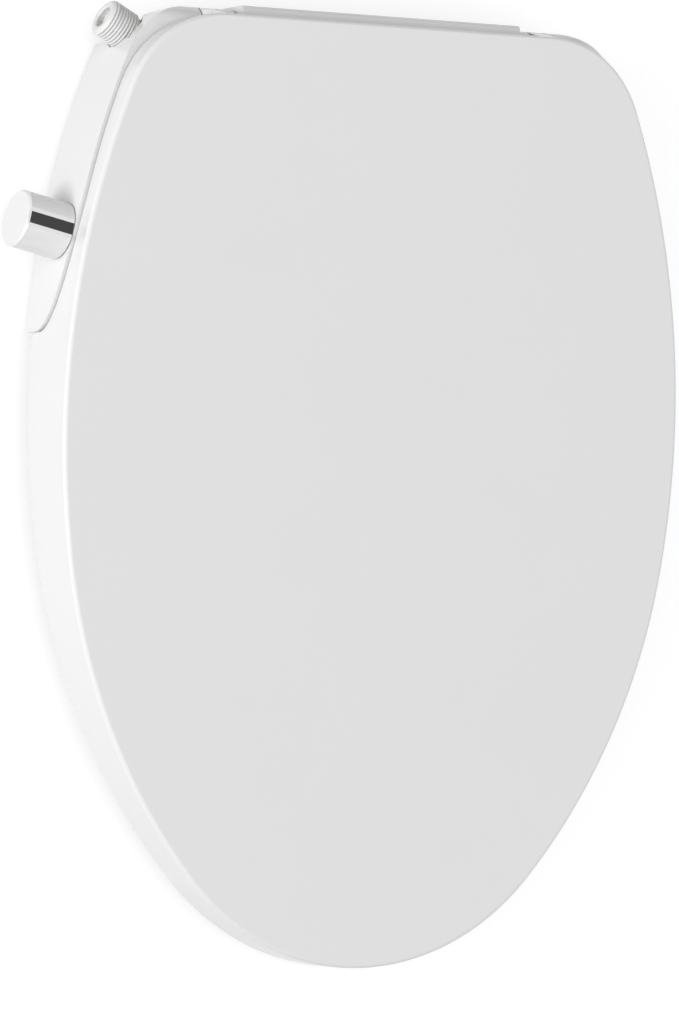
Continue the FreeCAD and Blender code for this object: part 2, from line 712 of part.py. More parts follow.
def coil_spring(name, centre_radius, wire, start, direction, length, turns):
    """Round-wire compression spring, a swept helix."""
    pitch = (length - wire * 2.2) / turns
    rise = pitch / (2 * math.pi * centre_radius)
    helix = Part.makeHelix(pitch, pitch * turns, centre_radius)
    section = Part.Wire(Part.Circle(V(centre_radius, 0, 0), V(0, 1, rise), wire).toShape())
    pipe = Part.Wire(helix.Edges).makePipeShell([section], True, True)
    pipe.translate(V(0, 0, wire * 1.1))
    obj = doc.addObject("Part::Feature", name)
    obj.Shape = pipe
    obj.Placement = FreeCAD.Placement(V(*start), aimed(direction))
    return obj


def springs():
    part("release_spring", coil_spring("release_spring", 3.95, 0.4, (101, v("release_y"), 10.3),
                                       V(1, 0, 0), 20.5, 6))
    for name, side in (("rear", -1), ("front", 1)):
        label = name + "_return_spring"
        part(label, coil_spring(label, 5.02, 0.42, nozzle_point(6.8, 0, side * v("nozzle_x")),
                                NOZZLE_OUT, 39.5, 9))


# ---------------------------------------------------------------- lid and seat
def lies_on(plane_z, tolerance=0.02):
    """Rule: every sample of the edge lies on the surface z = plane_z(y)."""
    def rule(edge):
        steps = [edge.FirstParameter + (edge.LastParameter - edge.FirstParameter) * k / 4
                 for k in range(5)]
        points = [edge.valueAt(s) for s in steps]
        return all(abs(p.z - plane_z(p.y)) < tolerance for p in points)
    return rule


def lid():
    blank = common("lid_blank", prism("lid_outer", lid_outline(0)),
                   side_prism("lid_view", lid_side_view()))
    top_rule = lies_on(lambda y: lid_top(y).number)
    rounded = rounded_edges("lid_rounded", blank, [(top_rule, v("edge_round"))])
    hollow = common("lid_hollow", prism("lid_inner", lid_outline(v("skirt_wall"))),
                    side_prism("lid_ceiling", below_lid_top(S["lid_plate"], -20)))
    ceiling_rear = lid_top(S["lid_rear_y"] + 2) - S["lid_plate"]
    ceiling_front = lid_top(10) - S["lid_plate"]
    rear_gap = extrude("lid_rear_gap", sketch("lid_rear_gap_side", lines(
        (10, 0), (40, 0), (40, lid_top(40) - S["lid_plate"]), (10, ceiling_front)),
        side_view=True), S["slot_half"] * 2 + 2, centred=True)
    shell = cut("lid_shell", rounded, hollow, rear_gap)
    y, z = v("hinge_y"), v("hinge_z")
    ear_r = v("ear_round")
    web = extrude("lid_web", sketch("lid_web_side", lines(
        (y - ear_r, z), (y + ear_r, z), (23, ceiling_rear.number - 0.1), (10.5, ceiling_front.number + 1.2)),
        side_view=True), S["ear_width"])
    place_at(web, S["lid_ear_x"], 0, 0)
    disc = cylinder("lid_ear_disc", S["ear_round"], (S["lid_ear_x"], y, z), V(1, 0, 0),
                    S["ear_width"])
    solid = fuse("lid_solid", shell, *(both_sides(web) + both_sides(disc)))
    drive = damper_shaft_blank("lid_drive_hole", -1)
    bush_hole = cylinder("lid_bush_hole", S["bush_radius"], (S["lid_ear_x"] - 1, y, z), V(1, 0, 0),
                         S["ear_width"] + 2)
    part("lid", cut("lid", solid, drive, bush_hole))


def seat_side_view():
    """Seat section under a plane parallel to the lid; it steps up to pass over the housing."""
    front, rear, step = LID_TIP_Y.number - 10, v("seat_rear_y"), v("seat_step_y")
    ramp = v("seat_ramp_y")
    top = lambda y: lid_top(y).number - v("seat_drop")
    bottom = lambda y: lid_top(y).number - v("seat_under")
    return lines((front, top(front)), (rear, top(rear)), (rear, bottom(rear)), (ramp, bottom(ramp)),
                 (step, v("seat_step_z")), (step, v("seat_low")), (front, v("seat_low")))


def seat_hollow_view():
    """The same section seen from inside the shell, open downwards."""
    wall = v("seat_wall")
    front, rear = LID_TIP_Y.number - 10, v("seat_rear_y") - wall
    top = lambda y: lid_top(y).number - v("seat_drop") - wall
    return lines((front, top(front)), (rear, top(rear)), (rear, -20), (front, -20))


def bumper_places():
    for index, (x, y, turn) in enumerate(SEAT_BUMPERS):
        for side in (1, -1):
            yield "%d_%d" % (index, side + 1), side * x, y, turn if side > 0 else 180 - turn


def seat_hole_edge(edge):
    """True where an edge belongs to the opening rather than to the outside of the ring."""
    p = edge.valueAt((edge.FirstParameter + edge.LastParameter) / 2)
    return abs(p.x) < 112 and -395 < p.y < -105


def seat_ring():
    ring = cut("seat_plan", prism("seat_outer", lid_outline(v("seat_inset"))),
               prism("seat_hole", seat_hole_outline(0)))
    blank = common("seat_blank", ring, side_prism("seat_view", seat_side_view()))
    top_rule = lies_on(lambda y: lid_top(y).number - v("seat_drop"))
    inner = lambda e: top_rule(e) and seat_hole_edge(e)
    outer = lambda e: top_rule(e) and not seat_hole_edge(e)
    rounded = rounded_edges("seat_rounded", blank, [(inner, 5), (outer, 3)])
    wall = v("seat_wall")
    hollow_plan = cut("seat_hollow_plan", prism("seat_hollow_outer", lid_outline(
        v("seat_inset") + wall)), prism("seat_hollow_hole", seat_hole_outline(wall)))
    hollow = common("seat_hollow", hollow_plan, side_prism("seat_hollow_view", seat_hollow_view()))
    rotations = {}
    posts = []
    for key, x, y, turn in bumper_places():
        spin = FreeCAD.Rotation(V(0, 0, 1), turn)
        rotations[key] = spin
        corner = V(x, y, 8) - spin.multVec(V(22, 7.5, 0))
        posts.append(turned_block("bumper_post_" + key, corner, (44, 15, 60), spin))
    ribs = [box("rib_%d" % k, -200, 200, y, y + 2.5, -20, 80)
            for k, y in enumerate((-300, -150, -70))]
    ribs += [box("rib_mid", -1.25, 1.25, -500, -395, -20, 80)]
    hollow_cut = cut("seat_hollow_ribbed", hollow, group("seat_ribs", posts + ribs))
    shell = cut("seat_shell", rounded, hollow_cut)
    y, z = v("hinge_y"), v("hinge_z")
    under = lambda at: lid_top(at).number - v("seat_under")
    arm = extrude("seat_arm", sketch("seat_arm_side", lines(
        (-8, under(-8)), (3, under(3) + 0.1), (13, z - 4), (y, z - 6), (y, z + 7.8),
        (8, lid_top(8).number - 11.5), (-8, lid_top(-8).number - v("seat_drop") - 0.5)),
        side_view=True), S["ear_width"])
    place_at(arm, S["seat_ear_x"], 0, 0)
    disc = cylinder("seat_ear_disc", S["ear_round"], (S["seat_ear_x"], y, z), V(1, 0, 0),
                    S["ear_width"])
    solid = fuse("seat_solid", shell, *(both_sides(arm) + both_sides(disc)))
    studs = []
    for key, x, yy, turn in bumper_places():
        for k, along in enumerate((-11, 11)):
            p = V(x, yy, 8) + rotations[key].multVec(V(along, 0, 0))
            studs.append(cylinder("stud_hole_%s_%d" % (key, k), 2.5, (p.x, p.y, p.z - 1),
                                  V(0, 0, 1), 6))
    drive = damper_shaft_blank("seat_drive_hole", 1)
    bush = cylinder("seat_bush_hole", S["bush_radius"], (-S["seat_ear_x"] - S["ear_width"] - 1, y, z),
                    V(1, 0, 0), S["ear_width"] + 2)
    part("seat_ring", cut("seat_ring", solid, group("seat_holes", studs + [drive, bush])))


def seat_bumpers():
    members = []
    for key, x, y, turn in bumper_places():
        spin = FreeCAD.Rotation(V(0, 0, 1), turn)
        half, radius = 14, 5.5
        middle = turned_block("bumper_mid_" + key, V(x, y, 0) - spin.multVec(V(half, radius, 0)),
                              (half * 2, radius * 2, 8), spin)
        pieces = [middle]
        for k, end in enumerate((-1, 1)):
            p = V(x, y, 0) + spin.multVec(V(half * end, 0, 0))
            pieces.append(cylinder("bumper_end_%s_%d" % (key, k), radius, tuple(p), V(0, 0, 1), 8))
            q = V(x, y, 0) + spin.multVec(V(11 * end, 0, 0))
            pieces.append(cylinder("bumper_stud_%s_%d" % (key, k), 2.5, (q.x, q.y, 7),
                                   V(0, 0, 1), 5))
        members.append(fuse("bumper_" + key, *pieces))
    part("seat_bumpers", group("seat_bumpers", members))


def lid_bumpers():
    slope = V(0, -LID_SLOPE.number, 1)
    tall = v("seat_drop") - v("lid_plate") - 0.4
    members = []
    for k, (x, y) in enumerate(LID_BUMPERS):
        top = (x, y, lid_top(y).number - v("lid_plate"))
        members.append(turned("lid_bumper_%d" % k, [(0, 0), (7, 0), (7, tall - 1), (6, tall),
                                                    (0, tall)], top, slope * -1))
    part("lid_bumpers", group("lid_bumpers", members))


# ---------------------------------------------------------------- dampers and bushes
def damper_shaft_blank(name, side):
    """Shaft from inside the damper out through both ears, with a drive flat on its outer end.

    The left shaft (side -1) drives the lid's ear; the right one (side 1) drives the seat's ear.
    """
    radius = S["shaft_radius"]
    first = v("lid_ear_x") if side < 0 else v("seat_ear_x")
    rod = cylinder(name + "_rod", radius, (S["shaft_inner_x"] * side, S["hinge_y"], S["hinge_z"]),
                   V(side, 0, 0), S["shaft_length"])
    low, high = sorted((side * first, side * (first + v("ear_width"))))
    flat = box(name + "_flat", low, high, 10, 30, S["hinge_z"] + S["drive_flat"], S["hinge_z"] + 5)
    return cut(name, rod, flat)


def dampers():
    for label, side in (("lid_damper", -1), ("seat_damper", 1)):
        length = v("damper_outer_x") - v("damper_inner_x")
        inner = v("shaft_radius") + v("running")
        body = turned(label, [(0, 0), (v("damper_radius") - 1, 0), (v("damper_radius"), 1),
                              (v("damper_radius"), length), (inner, length), (inner, 14.9),
                              (0, 14.9)],
                      (side * v("damper_inner_x"), v("hinge_y"), v("hinge_z")), V(side, 0, 0))
        part(label, body)
        part(label + "_shaft", damper_shaft_blank(label + "_shaft", side))
    inner = v("shaft_radius") + v("running")
    for label, start in (("seat_ear_bush", -v("seat_ear_x") - v("ear_width")),
                         ("lid_ear_bush", v("lid_ear_x"))):
        part(label, turned(label, tube_profile(inner, v("bush_radius"), 0, v("ear_width")),
                           (start, v("hinge_y"), v("hinge_z")), V(1, 0, 0)))


# ---------------------------------------------------------------- knob and valve
def knob_frame():
    """Rotation whose Z is the knob axis and whose X is straight up."""
    across = KNOB_OUT.cross(V(0, 0, 1))
    return FreeCAD.Rotation(V(0, 0, 1), across, KNOB_OUT, "ZXY")


def knob():
    radius, reach, chamfer = S["knob_radius"], S["knob_reach"], S["knob_chamfer"]
    blank = turned("knob_blank", [(0, 14), (S["stem_radius"], 14), (S["stem_radius"], S["knob_gap"]),
                                  (radius, S["knob_gap"]), (radius, reach - chamfer),
                                  (radius - chamfer, reach), (0, reach)],
                   on_knob_axis(0), KNOB_OUT)
    depth = v("knob_radius") - math.sqrt(v("knob_radius") ** 2 - (v("knob_flat") / 2) ** 2)
    frame = knob_frame()
    seat = v("knob_radius") - depth
    half = v("strip_width") / 2
    base = V(*on_knob_axis(0))
    flat = turned_block("knob_flat_cut", base + frame.multVec(V(seat, -20, -1)), (10, 40, 40), frame)
    length = v("knob_reach") - v("strip_end") - v("knob_gap")
    groove = (v("strip_depth"), v("strip_width"), length)
    corner = base + frame.multVec(V(seat - v("strip_depth"), -half, v("knob_gap")))
    strip = turned_block("knob_strip", corner, groove, frame)
    part("knob", cut("knob", blank, flat, strip))
    part("knob_strip", strip)


def valve_screw_xy(along):
    p = V(*on_knob_axis(-along))
    return p.x, p.y


def valve_port(along, out):
    """Point beside the valve body, a distance in from the wall and out along its port side."""
    into = KNOB_OUT * -1
    side = V(0, 0, 1).cross(into)
    p = V(*on_knob_axis(0)) + into * along + side * out
    return V(p.x, p.y, VALVE_PORT_Z)


def valve():
    into = KNOB_OUT * -1
    side = V(0, 0, 1).cross(into)
    frame = FreeCAD.Rotation(into, side, V(0, 0, 1), "XYZ")
    wall = V(*on_knob_axis(0))
    floor = V(wall.x, wall.y, 6)
    block = turned_block("valve_block", floor + frame.multVec(V(4, -12, 0)),
                         (34, 24, S["knob_z"] + 0.2), frame)
    neck = cylinder("valve_neck", 7.2, on_knob_axis(-6), KNOB_OUT, 6.2)
    ports = []
    bores = []
    for k, along in enumerate(VALVE_PORTS):
        p = valve_port(along, 11)
        ports.append(cylinder("valve_barb_%d" % k, S["hose_bore"], tuple(p), side, 10))
        bores.append(cylinder("valve_bore_%d" % k, 1.5, tuple(valve_port(along, 0)), side, 22))
        bores.append(cylinder("valve_riser_%d" % k, 1.5, tuple(valve_port(along, 0)), V(0, 0, 1), 10))
    solid = fuse("valve_solid", block, neck, *ports)
    chamber = cylinder("valve_chamber", 5.6, on_knob_axis(-39), KNOB_OUT, 29)
    stem_hole = cylinder("valve_stem_hole", 4.05, on_knob_axis(-12), KNOB_OUT, 14)
    feet = [cylinder("valve_pilot_%d" % k, 1.25, (*valve_screw_xy(along), 5), V(0, 0, 1), 8)
            for k, along in enumerate(VALVE_SCREWS)]
    part("valve_body", cut("valve_body", solid, group("valve_holes", [
        chamber, stem_hole] + bores + feet)))
    part("valve_cap", turned("valve_cap", [(0, 0), (6.1, 0), (6.1, 2), (5.6, 2), (5.6, 6.4), (0, 6.4)],
                             on_knob_axis(-40), KNOB_OUT))
    part("fixed_disc", turned("fixed_disc", tube_profile(1.2, 5.6, 0, 3), on_knob_axis(-33.5),
                              KNOB_OUT))
    part("turning_disc", turned("turning_disc", tube_profile(1.2, 5.5, 0, 3), on_knob_axis(-30.4),
                                KNOB_OUT))
    big, small = 5.5, v("stem_radius")
    part("valve_stem", turned("valve_stem", [
        (0, -27.4), (big, -27.4), (big, -18), (4.2, -18), (4.2, -16), (big, -16), (big, -12.3),
        (small, -12.3), (small, 14), (0, 14)], on_knob_axis(0), KNOB_OUT))
    seal = doc.addObject("Part::Torus", "stem_seal")
    bind(seal, "Radius1", 4.87)
    bind(seal, "Radius2", 0.66)
    seal.Placement = FreeCAD.Placement(V(*on_knob_axis(-17)), aimed(KNOB_OUT))
    part("stem_seal", seal)
    screws = [screw("valve_screw_%d" % k, (*valve_screw_xy(along), 2), V(0, 0, 1),
                    *VALVE_SCREW) for k, along in enumerate(VALVE_SCREWS)]
    return screws


# ---------------------------------------------------------------- inlet
def inlet_fitting():
    low = v("thread_start")
    start = v("thread_minor") / 2
    crest = v("thread_major") / 2
    pitch = v("thread_pitch")
    turns = int(v("thread_length") / pitch)
    profile = [(v("inlet_bore"), 106), (start - 0.6, 106), (start - 0.6, 108.5), (15, 108.5),
               (15, 111.9), (start - 0.1, 111.9), (start - 0.1, low)]
    for k in range(turns):
        base = low + k * pitch
        profile += [(start, base + 0.02), (crest, base + pitch * 0.42), (crest, base + pitch * 0.58)]
    tip = low + turns * pitch
    profile += [(start, tip), (start, tip + 0.7), (8.2, tip + 0.7), (8.2, tip - 2.5),
                (v("inlet_bore"), tip - 2.5)]
    spigot = turned("inlet_spigot", profile, tuple(V(*on_inlet_axis(0))), INLET_OUT)
    elbow_at = V(*on_inlet_axis(104))
    elbow = cylinder("inlet_elbow", 6.8, tuple(elbow_at + V(0, 0, -7)), V(0, 0, 1), 14)
    bridge = cylinder("inlet_bridge", 6.6, tuple(elbow_at), INLET_OUT, 5)
    barb = cylinder("inlet_barb", S["hose_bore"], tuple(elbow_at), INLET_TURN, 16)
    joined = fuse("inlet_joined", spigot, elbow, bridge, barb)
    bores = [cylinder("inlet_bore_in", 4.2, tuple(elbow_at), INLET_OUT, 8),
             cylinder("inlet_bore_out", 1.6, tuple(elbow_at), INLET_TURN, 18)]
    bores += [cylinder("inlet_screw_hole_%d" % k, 1.7, tuple(V(*on_inlet_axis(106)) + V(0, 0, dz)),
                       INLET_OUT, 10) for k, dz in enumerate(INLET_SCREWS)]
    part("inlet_fitting", cut("inlet_fitting", joined, group("inlet_bores", bores)))
    screws = [screw("inlet_screw_%d" % k, tuple(V(*on_inlet_axis(108.5)) + V(0, 0, dz)), INLET_OUT,
                    *INLET_SCREW) for k, dz in enumerate(INLET_SCREWS)]
    part("inlet_screws", group("inlet_screws", screws))
    mesh = turned("inlet_filter", [(0, 0), (5.9, 0), (5.9, 8), (5.2, 8), (5.2, 0.8), (0, 0.8)],
                  on_inlet_axis(122), INLET_OUT)
    part("inlet_filter", mesh)


# ---------------------------------------------------------------- hoses
def smooth_path(points, share=0.45):
    """Straight runs joined by tangent arcs as large as the runs allow."""
    pts = [V(*p) for p in points]
    edges, last = [], pts[0]
    for before, corner, after in zip(pts, pts[1:], pts[2:]):
        into, out = (corner - before).normalize(), (after - corner).normalize()
        turn = into.getAngle(out)
        reach = share * min((corner - before).Length, (after - corner).Length)
        radius = reach / math.tan(turn / 2)
        a, b = corner - into * reach, corner + out * reach
        bisector = (out - into).normalize()
        middle = corner + bisector * (radius / math.cos(turn / 2) - radius)
        edges.append(Part.LineSegment(last, a).toShape())
        edges.append(Part.Arc(a, middle, b).toShape())
        last = b
    edges.append(Part.LineSegment(last, pts[-1]).toShape())
    return Part.Wire(edges)


def swept(path, radius):
    first = path.Edges[0]
    start = first.valueAt(first.FirstParameter)
    along = first.tangentAt(first.FirstParameter)
    section = Part.Wire(Part.Circle(start, along, radius).toShape())
    return path.makePipeShell([section], True, False)


def hose(label, points):
    path = smooth_path(points)
    obj = doc.addObject("Part::Feature", label)
    obj.Shape = swept(path, v("hose_radius")).cut(swept(path, v("hose_bore")))
    part(label, obj)


def nozzle_port(s):
    return V(*nozzle_point(s, 0, -17.5))


def hoses():
    side = V(0, 0, 1).cross(KNOB_OUT * -1)
    ends = [valve_port(along, 12.2) for along in VALVE_PORTS]
    leads = [p + side * 28 for p in ends]
    start = V(*on_inlet_axis(104)) + INLET_TURN * 7.5
    hose("inlet_hose", [tuple(start), tuple(start + INLET_TURN * 12), (-149, -33, 19),
                        tuple(leads[0]), tuple(ends[0])])
    near, far = (nozzle_port(s) for s in NOZZLE_PORTS)
    hose("front_nozzle_hose", [(near.x - 0.3, near.y, near.z), (-66, near.y, near.z),
                               (-104, -44, 21), tuple(leads[2]), tuple(ends[2])])
    hose("rear_nozzle_hose", [(far.x - 0.3, far.y, far.z), (-68, far.y, far.z),
                              (-107, -31, 21.5), tuple(leads[1]), tuple(ends[1])])


# ---------------------------------------------------------------- nozzles
def aimed_box(direction):
    """Rotation for a box whose X stays on row X and whose Z follows a direction."""
    return FreeCAD.Rotation(V(1, 0, 0), direction.cross(V(1, 0, 0)), direction, "ZXY")


def nozzle_block():
    wide, thick = 35, 14.8
    block = turned_block("nozzle_blank", nozzle_point(-13, -thick / 2, -wide / 2),
                         (wide, thick, 60), aimed_box(NOZZLE_OUT))
    lugs = [cylinder("nozzle_lug_%d" % k, 4, (x, y, 7.5), V(0, 0, 1), 3)
            for k, (x, y) in enumerate(LUGS)]
    webs = [box("nozzle_web_%d" % k, *sorted((x * 0.75, x)), y - 4, y + 4, 7.5, 10.5)
            for k, (x, y) in enumerate(LUGS)]
    webs += [box("nozzle_leg_%d" % k, *sorted((x * 0.6, x * 0.81)), y - 4, y + 4, 7.5, 16)
             for k, (x, y) in enumerate(LUGS)]
    barbs = []
    bores = []
    for k, s in enumerate(NOZZLE_PORTS):
        p = nozzle_port(s)
        barbs.append(cylinder("nozzle_barb_%d" % k, S["hose_bore"], (p.x + 1, p.y, p.z),
                              V(-1, 0, 0), 10))
        bores.append(cylinder("nozzle_port_%d" % k, 1.4, (p.x + (9 if k == 0 else 26), p.y, p.z),
                              V(-1, 0, 0), 40))
    solid = fuse("nozzle_solid", block, *(lugs + webs + barbs))
    for side in (-1, 1):
        start = nozzle_point(-0.5, 0, side * v("nozzle_x"))
        bores.append(cylinder("nozzle_cylinder_%d" % (side + 1), S["cylinder_radius"], start,
                              NOZZLE_OUT, 60))
    bores.append(cylinder("nozzle_feed", 1.4, nozzle_point(-9.5, 0, v("nozzle_x")), NOZZLE_OUT, 12))
    bores += [cylinder("nozzle_lug_hole_%d" % k, 1.6, (x, y, 5), V(0, 0, 1), 8)
              for k, (x, y) in enumerate(LUGS)]
    part("nozzle_block", cut("nozzle_block", solid, group("nozzle_bores", bores)))
    caps = turned_block("nozzle_cap_blank", nozzle_point(47.02, -thick / 2, -wide / 2),
                        (wide, thick, 3), aimed_box(NOZZLE_OUT))
    holes = [cylinder("cap_hole_%d" % k, S["nozzle_radius"] + S["running"],
                      nozzle_point(46, 0, side * v("nozzle_x")), NOZZLE_OUT, 6)
             for k, side in enumerate((-1, 1))]
    part("nozzle_block_cap", cut("nozzle_block_cap", caps, *holes))


def nozzles():
    radius, length = S["nozzle_radius"], S["nozzle_length"]
    for label, side in (("rear_nozzle", -1), ("front_nozzle", 1)):
        start = nozzle_point(0, 0, side * v("nozzle_x"))
        tube = turned(label + "_tube", [
            (1.6, 0), (S["piston_radius"], 0), (S["piston_radius"], 1.8), (4.3, 1.8), (4.3, 4.2),
            (S["piston_radius"], 4.2), (S["piston_radius"], 6), (radius, 6), (radius, length - 12),
            (3.2, length - 12), (3.2, length - 3), (1.6, length - 3)], start, NOZZLE_OUT)
        part(label, tube)
        tip = turned(label + "_tip_blank", [
            (3.2, length - 12), (radius, length - 12), (radius, length - 2), (3, length),
            (0, length), (0, length - 3), (3.2, length - 3)], start, NOZZLE_OUT)
        jets = [cylinder("%s_jet_%d" % (label, k), 0.6,
                         nozzle_point(49 - 2 * k, 3.4, side * v("nozzle_x")), NOZZLE_UP, 3)
                for k in range(2)]
        part(label + "_tip", cut(label + "_tip", tip, *jets))
        seal = doc.addObject("Part::Torus", label + "_seal")
        bind(seal, "Radius1", 4.9)
        bind(seal, "Radius2", 0.6)
        seal.Placement = FreeCAD.Placement(V(*nozzle_point(3, 0, side * v("nozzle_x"))),
                                           aimed(NOZZLE_OUT))
        part(label + "_seal", seal)


def nozzle_gate():
    """Flap hung from a pin at its top edge, with a finger lip along the bottom."""
    half = 22.5
    plate = box("gate_plate", -half, half, GATE_Y - 2.6, GATE_Y - 0.6, GATE_LOW_Z, GATE_Z)
    barrel = cylinder("gate_barrel", 2.6, (-half, GATE_Y, GATE_Z), V(1, 0, 0), half * 2)
    finger = box("gate_finger", -8, 8, GATE_Y - 5.2, GATE_Y - 2, GATE_LOW_Z, GATE_LOW_Z + 2)
    solid = fuse("gate_solid", plate, barrel, finger)
    hole = cylinder("gate_hole", 1.25, (-30, GATE_Y, GATE_Z), V(1, 0, 0), 60)
    part("nozzle_gate", cut("nozzle_gate", solid, hole))
    part("gate_pin", turned("gate_pin", pin_profile(1.2, 54), (-27, GATE_Y, GATE_Z), V(1, 0, 0)))


def small_screws(valve_screws):
    block = [screw("block_screw_%d" % k, (x, y, 10.5), V(0, 0, -1), *BLOCK_SCREW)
             for k, (x, y) in enumerate(LUGS)]
    part("inner_screws", group("inner_screws", block + valve_screws))


def hose_clips():
    clips = []
    side = V(0, 0, 1).cross(KNOB_OUT * -1)
    for k, along in enumerate(VALVE_PORTS):
        clips.append(turned("valve_clip_%d" % k, tube_profile(4, 5, 0, 4),
                            tuple(valve_port(along, 15)), side))
    for k, s in enumerate(NOZZLE_PORTS):
        p = nozzle_port(s)
        clips.append(turned("nozzle_clip_%d" % k, tube_profile(4, 5, 0, 4), (p.x - 4, p.y, p.z),
                            V(-1, 0, 0)))
    start = V(*on_inlet_axis(104)) + INLET_TURN * 10
    clips.append(turned("inlet_clip", tube_profile(4, 5, 0, 4), tuple(start), INLET_TURN))
    part("hose_clips", group("hose_clips", clips))


# ---------------------------------------------------------------- build, check and write
def build():
    housing_cover()
    housing_base()
    base_feet()
    cover_screws()
    mounting_bracket()
    release_button()
    springs()
    lid()
    lid_bumpers()
    seat_ring()
    seat_bumpers()
    dampers()
    knob()
    valve_screws = valve()
    inlet_fitting()
    hoses()
    nozzle_block()
    nozzles()
    nozzle_gate()
    small_screws(valve_screws)
    hose_clips()
    doc.recompute()


def check_document():
    for obj in doc.Objects:
        if "Invalid" in obj.State or "Error" in obj.State:
            raise RuntimeError("failed: %s %s" % (obj.Name, obj.State))
    for label, obj in PARTS.items():
        shape = obj.Shape
        if shape.isNull() or not shape.isValid() or not shape.Solids:
            raise RuntimeError("bad shape: " + label)


def write_steps():
    os.makedirs("parts", exist_ok=True)
    for label, obj in PARTS.items():
        obj.Shape.exportStep("parts/%s.step" % label)
        print("%-22s %8.1f mm3 %d solid(s)" % (label, obj.Shape.Volume, len(obj.Shape.Solids)))


build()
check_document()
write_steps()
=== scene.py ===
"""Bidet toilet seat, lying flat as it is used, seen from above its knob side.

Metres, in the row frame: +Z up, the front tip towards -Y, the hinges at +Y, the knob and the water
inlet on the -X side. Shapes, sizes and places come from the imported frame.
"""
import json
import math

import bmesh
import bpy
from mathutils import Matrix, Vector


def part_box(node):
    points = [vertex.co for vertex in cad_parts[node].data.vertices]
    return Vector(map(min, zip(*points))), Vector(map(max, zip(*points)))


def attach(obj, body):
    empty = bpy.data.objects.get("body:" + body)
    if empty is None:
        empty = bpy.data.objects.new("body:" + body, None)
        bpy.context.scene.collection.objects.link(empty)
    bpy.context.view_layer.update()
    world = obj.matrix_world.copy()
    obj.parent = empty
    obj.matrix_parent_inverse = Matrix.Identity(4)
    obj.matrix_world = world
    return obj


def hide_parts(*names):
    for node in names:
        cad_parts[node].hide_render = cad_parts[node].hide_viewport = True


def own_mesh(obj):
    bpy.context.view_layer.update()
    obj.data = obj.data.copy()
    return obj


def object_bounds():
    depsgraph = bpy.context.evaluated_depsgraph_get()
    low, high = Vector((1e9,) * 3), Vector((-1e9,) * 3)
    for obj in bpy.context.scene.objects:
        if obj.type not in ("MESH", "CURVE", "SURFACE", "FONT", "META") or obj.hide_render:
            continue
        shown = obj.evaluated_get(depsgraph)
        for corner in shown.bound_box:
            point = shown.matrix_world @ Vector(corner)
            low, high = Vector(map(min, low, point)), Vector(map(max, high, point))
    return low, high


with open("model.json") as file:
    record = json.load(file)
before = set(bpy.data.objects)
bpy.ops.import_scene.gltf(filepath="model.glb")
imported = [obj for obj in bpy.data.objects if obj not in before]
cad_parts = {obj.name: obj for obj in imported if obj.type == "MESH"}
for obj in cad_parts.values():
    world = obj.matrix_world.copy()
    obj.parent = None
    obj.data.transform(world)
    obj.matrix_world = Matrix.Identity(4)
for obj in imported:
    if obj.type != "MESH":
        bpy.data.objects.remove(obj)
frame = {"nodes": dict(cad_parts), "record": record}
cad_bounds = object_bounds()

MM = 0.001
NODES = frame["nodes"]
SLOT_OF = {entry["node"]: entry["material_slot"] for entry in frame["record"]["subparts"]}
# colour sockets of a Mix node
MIX_A, MIX_B, MIX_RESULT = 6, 7, 2


def clamp(value):
    return min(1.0, max(0.0, value))


